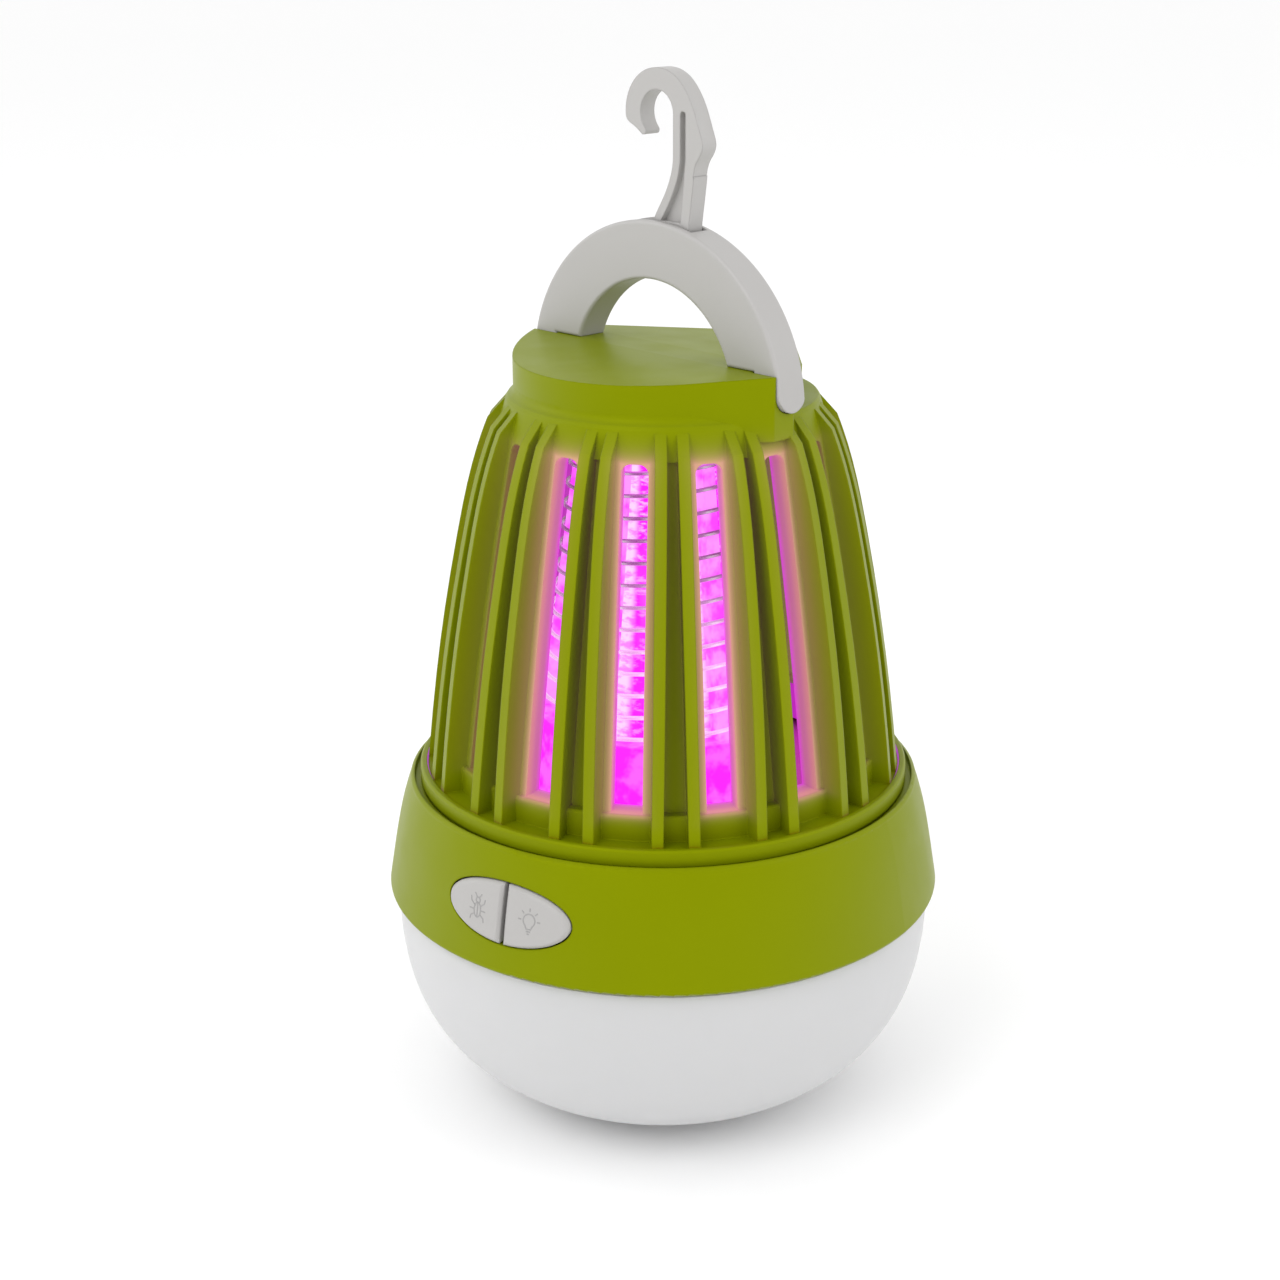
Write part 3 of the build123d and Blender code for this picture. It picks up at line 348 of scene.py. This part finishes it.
def frosted_dome():
    """The pale translucent plastic of the lamp's dome."""
    t = moulded("frosted_dome", (0.575, 0.575, 0.58, 1.0), rough=0.42, spread=0.012)
    t.set(Specular_IOR_Level=0.3)
    t.set(Subsurface_Weight=0.5, Subsurface_Radius=(1.0, 0.95, 0.9), Subsurface_Scale=6 * MM)
    return t


def light_tube():
    """Milky tube lit violet from within, with painted reflections: pale upright bands and flecks of
    reflected wire.
    """
    t = Tree("light_tube")
    streaks = t.noise(3 * MM, 2, t.stretched((1, 1, 0.06)))
    clouds = t.noise(7 * MM, 2)
    x, y, z = t.split()
    band = t.math("PINGPONG", t.math("SUBTRACT", t.turn(x, y), TUBE_FIRST), math.pi / TUBE_BANDS)
    flecks = t.noise(2.2 * MM, 5, t.stretched((1, 1, 2.2)), 0.6)
    bands = t.ramp(band, BAND_END, BAND_CORE)
    bands = t.math("MULTIPLY", bands, t.ramp(flecks, 0.36, 0.55, 0.35, 1.0))
    # the painted reflected flecks between the bands are fainter towards the tube's foot
    high = t.ramp(z, TUBE_LOW_Z, TUBE_HIGH_Z, 0.45, 1.0)
    between = t.math("MULTIPLY", t.ramp(flecks, 0.48, 0.66, 0.0, 0.75), high)
    reflex = t.math("MAXIMUM", bands, between)
    hot = t.math("MULTIPLY", t.ramp(streaks, 0.45, 0.75), t.ramp(clouds, 0.2, 0.7, 0.1, 0.5))
    t.set(Base_Color=(0.30, 0.01, 0.30, 1.0), Specular_Tint=(1.0, 0.05, 1.0, 1.0))
    t.set(Roughness=t.ramp(clouds, 0.3, 0.7, 0.3, 0.5))
    glow = t.mix(hot, MAGENTA, (1.0, 0.22, 1.0, 1.0))
    t.set(Emission_Color=t.mix(reflex, glow, (1.0, 0.72, 1.0, 1.0)))
    t.set(Emission_Strength=0.95)
    t.bump(streaks, 0.02 * MM)
    return t


def lit_white():
    """White plastic of the grid frame, with the tube's light painted on as magenta colour and glow, most
    of all on its skirt.
    """
    t = Tree("lit_white")
    clouds = t.noise(4 * MM, 3)
    height = t.split()[2]
    skirt = t.ramp(height, SKIRT_Z + 0.4 * MM, SKIRT_Z - 0.4 * MM)
    pale = t.mix(t.ramp(clouds, 0.35, 0.60), (0.95, 0.05, 0.95, 1.0), (1.0, 0.34, 1.0, 1.0))
    glow = t.mix(t.ramp(clouds, 0.45, 0.65), MAGENTA, (1.0, 0.14, 1.0, 1.0))
    # painted light: the white plastic's base colour is tinted magenta, more on the skirt
    t.set(Base_Color=t.mix(skirt, (0.34, 0.08, 0.34, 1.0), (0.30, 0.02, 0.30, 1.0)))
    gloss(t, rough=0.45, tint=(1.0, 0.2, 1.0, 1.0))
    # painted glow of the tube's light, paler above the skirt and magenta on it
    t.set(Emission_Color=t.mix(skirt, pale, glow))
    t.set(Emission_Strength=t.ramp(skirt, 0.0, 1.0, 0.85, 0.95))
    eroded(t)
    return t


def circuit_board():
    """Green solder mask over raised tracks."""
    t = Tree("circuit_board")
    tracks = t.ramp(t.cells(2.2 * MM), 0.42, 0.46)
    t.set(Base_Color=t.mix(tracks, (0.02, 0.13, 0.04, 1.0), (0.05, 0.28, 0.09, 1.0)))
    gloss(t, rough=0.35, coat=0.3)
    t.bump(tracks, 0.03 * MM)
    return t


def woven_tape():
    """Black webbing."""
    t = Tree("strap_tape")
    drift(t, (0.03, 0.03, 0.03, 1.0))
    gloss(t, rough=0.8)
    t.bump(t.noise(0.5 * MM, 1, t.stretched((1, 4, 4))), 0.08 * MM)
    return t


def led_package():
    """A white light's yellow phosphor in its pale case."""
    t = Tree("led_package")
    t.set(Base_Color=t.mix(t.noise(1.5 * MM), (0.85, 0.78, 0.30, 1.0), (0.92, 0.90, 0.70, 1.0)))
    gloss(t, rough=0.25)
    eroded(t)
    return t


paint = {
    "green_shell": green_plastic("green_shell"),
    "lit_green_shell": lit_green_shell(),
    "lit_deck": lit_deck(),
    "green_rubber": soft_rubber("green_rubber", shade(GREEN, 0.9)),
    "grey_trim": moulded("grey_trim", GREY, rough=0.42, spread=0.02, edge=SOFT_EDGE),
    "frosted_dome": frosted_dome(),
    "seal_rubber": soft_rubber("seal_rubber", (0.62, 0.62, 0.60, 1.0)),
    "white_inner": moulded("white_inner", (0.80, 0.80, 0.80, 1.0), rough=0.4),
    "lit_white": lit_white(),
    "light_tube": light_tube(),
    "grid_wire": lit_wire(),
    "screw_steel": metal("screw_steel", (0.62, 0.62, 0.60, 1.0), rough=0.25),
    "socket_steel": metal("socket_steel", (0.58, 0.58, 0.60, 1.0), rough=0.3),
    "light_board": moulded("light_board", (0.82, 0.82, 0.80, 1.0), rough=0.3, coat=0.2),
    "led_package": led_package(),
    "cell_sleeve": moulded("cell_sleeve", (0.04, 0.14, 0.42, 1.0), rough=0.28, coat=0.4),
    "strap_tape": woven_tape(),
    "circuit_board": circuit_board(),
    "transformer": metal("transformer", (0.72, 0.30, 0.10, 1.0), rough=0.35, streak=(1, 1, 12)),
    "capacitor": moulded("capacitor", (0.32, 0.05, 0.02, 1.0), rough=0.3, coat=0.3),
    "switch_black": moulded("switch_black", (0.02, 0.02, 0.02, 1.0), rough=0.5),
}

# a node takes its record slot's material, apart from these, on which the tube's light is painted
lit_nodes = {
    "cage": "lit_green_shell",
    "deck": "lit_deck",
    "grid_frame": "lit_white",
    "grid_cap": "lit_white",
}

for part in frame["record"]["subparts"]:
    node = part["node"]
    slots = nodes[node].data.materials
    slots.clear()
    slots.append(paint[lit_nodes.get(node, part["material_slot"])].material)

# ---------------------------------------------------------------- rounded edges


def round_edges(piece, width):
    """Merges the piece's flat triangles into whole faces, then rounds its sharp edges."""
    weld = piece.modifiers.new("weld", "WELD")
    weld.merge_threshold = 0.002 * MM
    flat = piece.modifiers.new("flat", "DECIMATE")
    flat.decimate_type = "DISSOLVE"
    flat.angle_limit = math.radians(0.2)
    bevel = piece.modifiers.new("bevel", "BEVEL")
    bevel.width = width
    bevel.segments = 3
    bevel.limit_method = "ANGLE"
    bevel.angle_limit = math.radians(40)
    bevel.use_clamp_overlap = True
    bevel.miter_outer = "MITER_ARC"


round_edges(nodes["hook"], 0.4 * MM)
round_edges(nodes["zap_button"], 0.35 * MM)
round_edges(nodes["lamp_button"], 0.35 * MM)

# ---------------------------------------------------------------- button symbols
# A path is a list of (x, z) places in millimetres, z measured from the buttons' middles.
SYMBOL_X = 4.6                     # from the lantern's middle to a symbol's middle
LINE_W = 0.16                      # width of a symbol's lines
LINE_STEP = 0.3                    # furthest that two points along a line are apart


def front_of(button):
    """Gives the depth of a button's front at a place on it."""
    mesh = button.data
    points = [button.matrix_world @ v.co for v in mesh.vertices]
    tree = BVHTree.FromPolygons(points, [p.vertices[:] for p in mesh.polygons])
    outside = -0.06

    def depth(x, z):
        hit = tree.ray_cast(Vector((x, outside, z)), Vector((0, 1, 0)))
        return hit[0].y

    return depth


def densify(points, step):
    """Points along a path, no further apart than step."""
    dense = [points[0]]
    for a, b in zip(points, points[1:]):
        parts = max(1, math.ceil(math.dist(a, b) / step))
        for i in range(1, parts + 1):
            dense.append((a[0] + (b[0] - a[0]) * i / parts, a[1] + (b[1] - a[1]) * i / parts))
    return dense


def stroke(vertices, faces, path, width, depth):
    """One raised line of a symbol, laid on the button's front."""
    path = densify(path, LINE_STEP)
    first = len(vertices)
    for i, here in enumerate(path):
        before = path[max(i - 1, 0)]
        after = path[min(i + 1, len(path) - 1)]
        run = math.dist(before, after)
        side = ((before[1] - after[1]) / run, (after[0] - before[0]) / run)
        for across in (-0.5, 0.5):
            x = (here[0] + side[0] * width * across) * MM
            z = (here[1] + side[1] * width * across) * MM + BUTTON_Z
            y = depth(x, z)
            vertices.append((x, y - INK_T, z))
            vertices.append((x, y + INK_T, z))
    for i in range(len(path) - 1):
        a = first + 4 * i
        b = a + 4
        faces.append((a, a + 2, b + 2, b))
        faces.append((a + 1, b + 1, b + 3, a + 3))
        faces.append((a, b, b + 1, a + 1))
        faces.append((a + 2, a + 3, b + 3, b + 2))
    last = first + 4 * (len(path) - 1)
    faces.append((first, first + 1, first + 3, first + 2))
    faces.append((last, last + 2, last + 3, last + 1))


def arc(centre, radius, start, end, tall=1.0):
    """Points on part of an ellipse, angles in degrees."""
    steps = max(3, round(abs(end - start) / 15))
    points = []
    for i in range(steps + 1):
        a = math.radians(start + (end - start) * i / steps)
        points.append((centre[0] + radius * math.cos(a), centre[1] + radius * tall * math.sin(a)))
    return points


def symbol(name, button, body, paths, material):
    """A piece made of one raised line for each path, on the front of a button."""
    vertices = []
    faces = []
    depth = front_of(nodes[button])
    for path in paths:
        stroke(vertices, faces, path, LINE_W, depth)
    mesh = bpy.data.meshes.new(name)
    mesh.from_pydata(vertices, [], faces)
    mesh.materials.append(material)
    piece = bpy.data.objects.new(name, mesh)
    scene.collection.objects.link(piece)
    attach(piece, body)


def insect_paths(x):
    """A plain insect: body, head, six legs and two feelers."""
    paths = [arc((x, -0.4), 0.62, 0, 360, tall=1.75), arc((x, 1.05), 0.38, 0, 360)]
    paths.append([(x, -1.4), (x, 0.6)])
    for side in (-1, 1):
        paths.append([(x + side * 0.55, 0.2), (x + side * 1.25, 0.75), (x + side * 1.35, 1.35)])
        paths.append([(x + side * 0.62, -0.4), (x + side * 1.5, -0.4)])
        paths.append([(x + side * 0.55, -1.0), (x + side * 1.2, -1.45), (x + side * 1.3, -2.0)])
        paths.append([(x + side * 0.2, 1.4), (x + side * 0.65, 2.0)])
    return paths


def lamp_paths(x):
    """A plain light bulb with rays."""
    middle = 0.25
    bulb = arc((x, middle), 0.95, -50, 230)
    paths = [bulb, [bulb[0], (x + 0.35, -1.0), (x - 0.35, -1.0), bulb[-1]]]
    paths.append([(x - 0.32, -1.35), (x + 0.32, -1.35)])
    paths.append([(x - 0.18, -1.7), (x + 0.18, -1.7)])
    for turn in (0, 45, 90, 135, 180):
        a = math.radians(turn)
        near = (x + 1.3 * math.cos(a), middle + 1.3 * math.sin(a))
        far = (x + 1.8 * math.cos(a), middle + 1.8 * math.sin(a))
        paths.append([near, far])
    return paths


ink = moulded("symbol_ink", (0.31, 0.305, 0.30, 1.0), rough=0.5, spread=0.03).material
symbol("insect_symbol", "zap_button", "zap_button", insect_paths(-SYMBOL_X), ink)
symbol("lamp_symbol", "lamp_button", "lamp_button", lamp_paths(SYMBOL_X), ink)

# ---------------------------------------------------------------- floor, light and camera


def studio():
    """A white floor under an even white sky."""
    world = bpy.data.worlds.new("studio")
    world.use_nodes = True
    sky = world.node_tree.nodes["Background"]
    sky.inputs["Color"].default_value = WHITE
    sky.inputs["Strength"].default_value = 1.0
    scene.world = world
    scene.view_settings.view_transform = "Standard"
    mesh = bpy.data.meshes.new("floor")
    far = FLOOR_HALF
    mesh.from_pydata([(-far, -far, 0), (far, -far, 0), (far, far, 0), (-far, far, 0)], [], [(0, 1, 2, 3)])
    floor = bpy.data.objects.new("floor", mesh)
    scene.collection.objects.link(floor)
    white = moulded("floor_white", (0.975, 0.975, 0.975, 1.0), rough=0.7, spread=0.003)
    floor.data.materials.append(white.material)


def area_light(name, place, size, power):
    """A round soft light of size metres and power watts, aimed at the lantern's middle."""
    lamp = bpy.data.lights.new(name, "AREA")
    lamp.shape = "DISK"
    lamp.size = size
    lamp.energy = power
    holder = bpy.data.objects.new(name, lamp)
    holder.location = place
    aim = Vector((0.0, 0.0, 70 * MM)) - Vector(place)
    holder.rotation_euler = aim.to_track_quat("-Z", "Y").to_euler()
    scene.collection.objects.link(holder)


def make_camera():
    """The camera that took the photo, as near as could be worked out."""
    lens = bpy.data.cameras.new("camera")
    lens.lens = VIEW_LENS
    lens.sensor_width = VIEW_SENSOR
    lens.shift_x, lens.shift_y = VIEW_SHIFT
    lens.clip_start = 0.01
    camera = bpy.data.objects.new("camera", lens)
    camera.location = VIEW_PLACE
    camera.rotation_euler = (math.pi / 2 - VIEW_TILT, 0.0, VIEW_TURN)
    scene.collection.objects.link(camera)
    scene.camera = camera


studio()
area_light("key", (-0.05, -0.80, 0.80), 0.6, 2.4)
area_light("left_fill", (-0.8, -0.35, 0.45), 0.6, 1.0)
area_light("right_fill", (0.85, 0.15, 0.55), 0.6, 1.3)
make_camera()
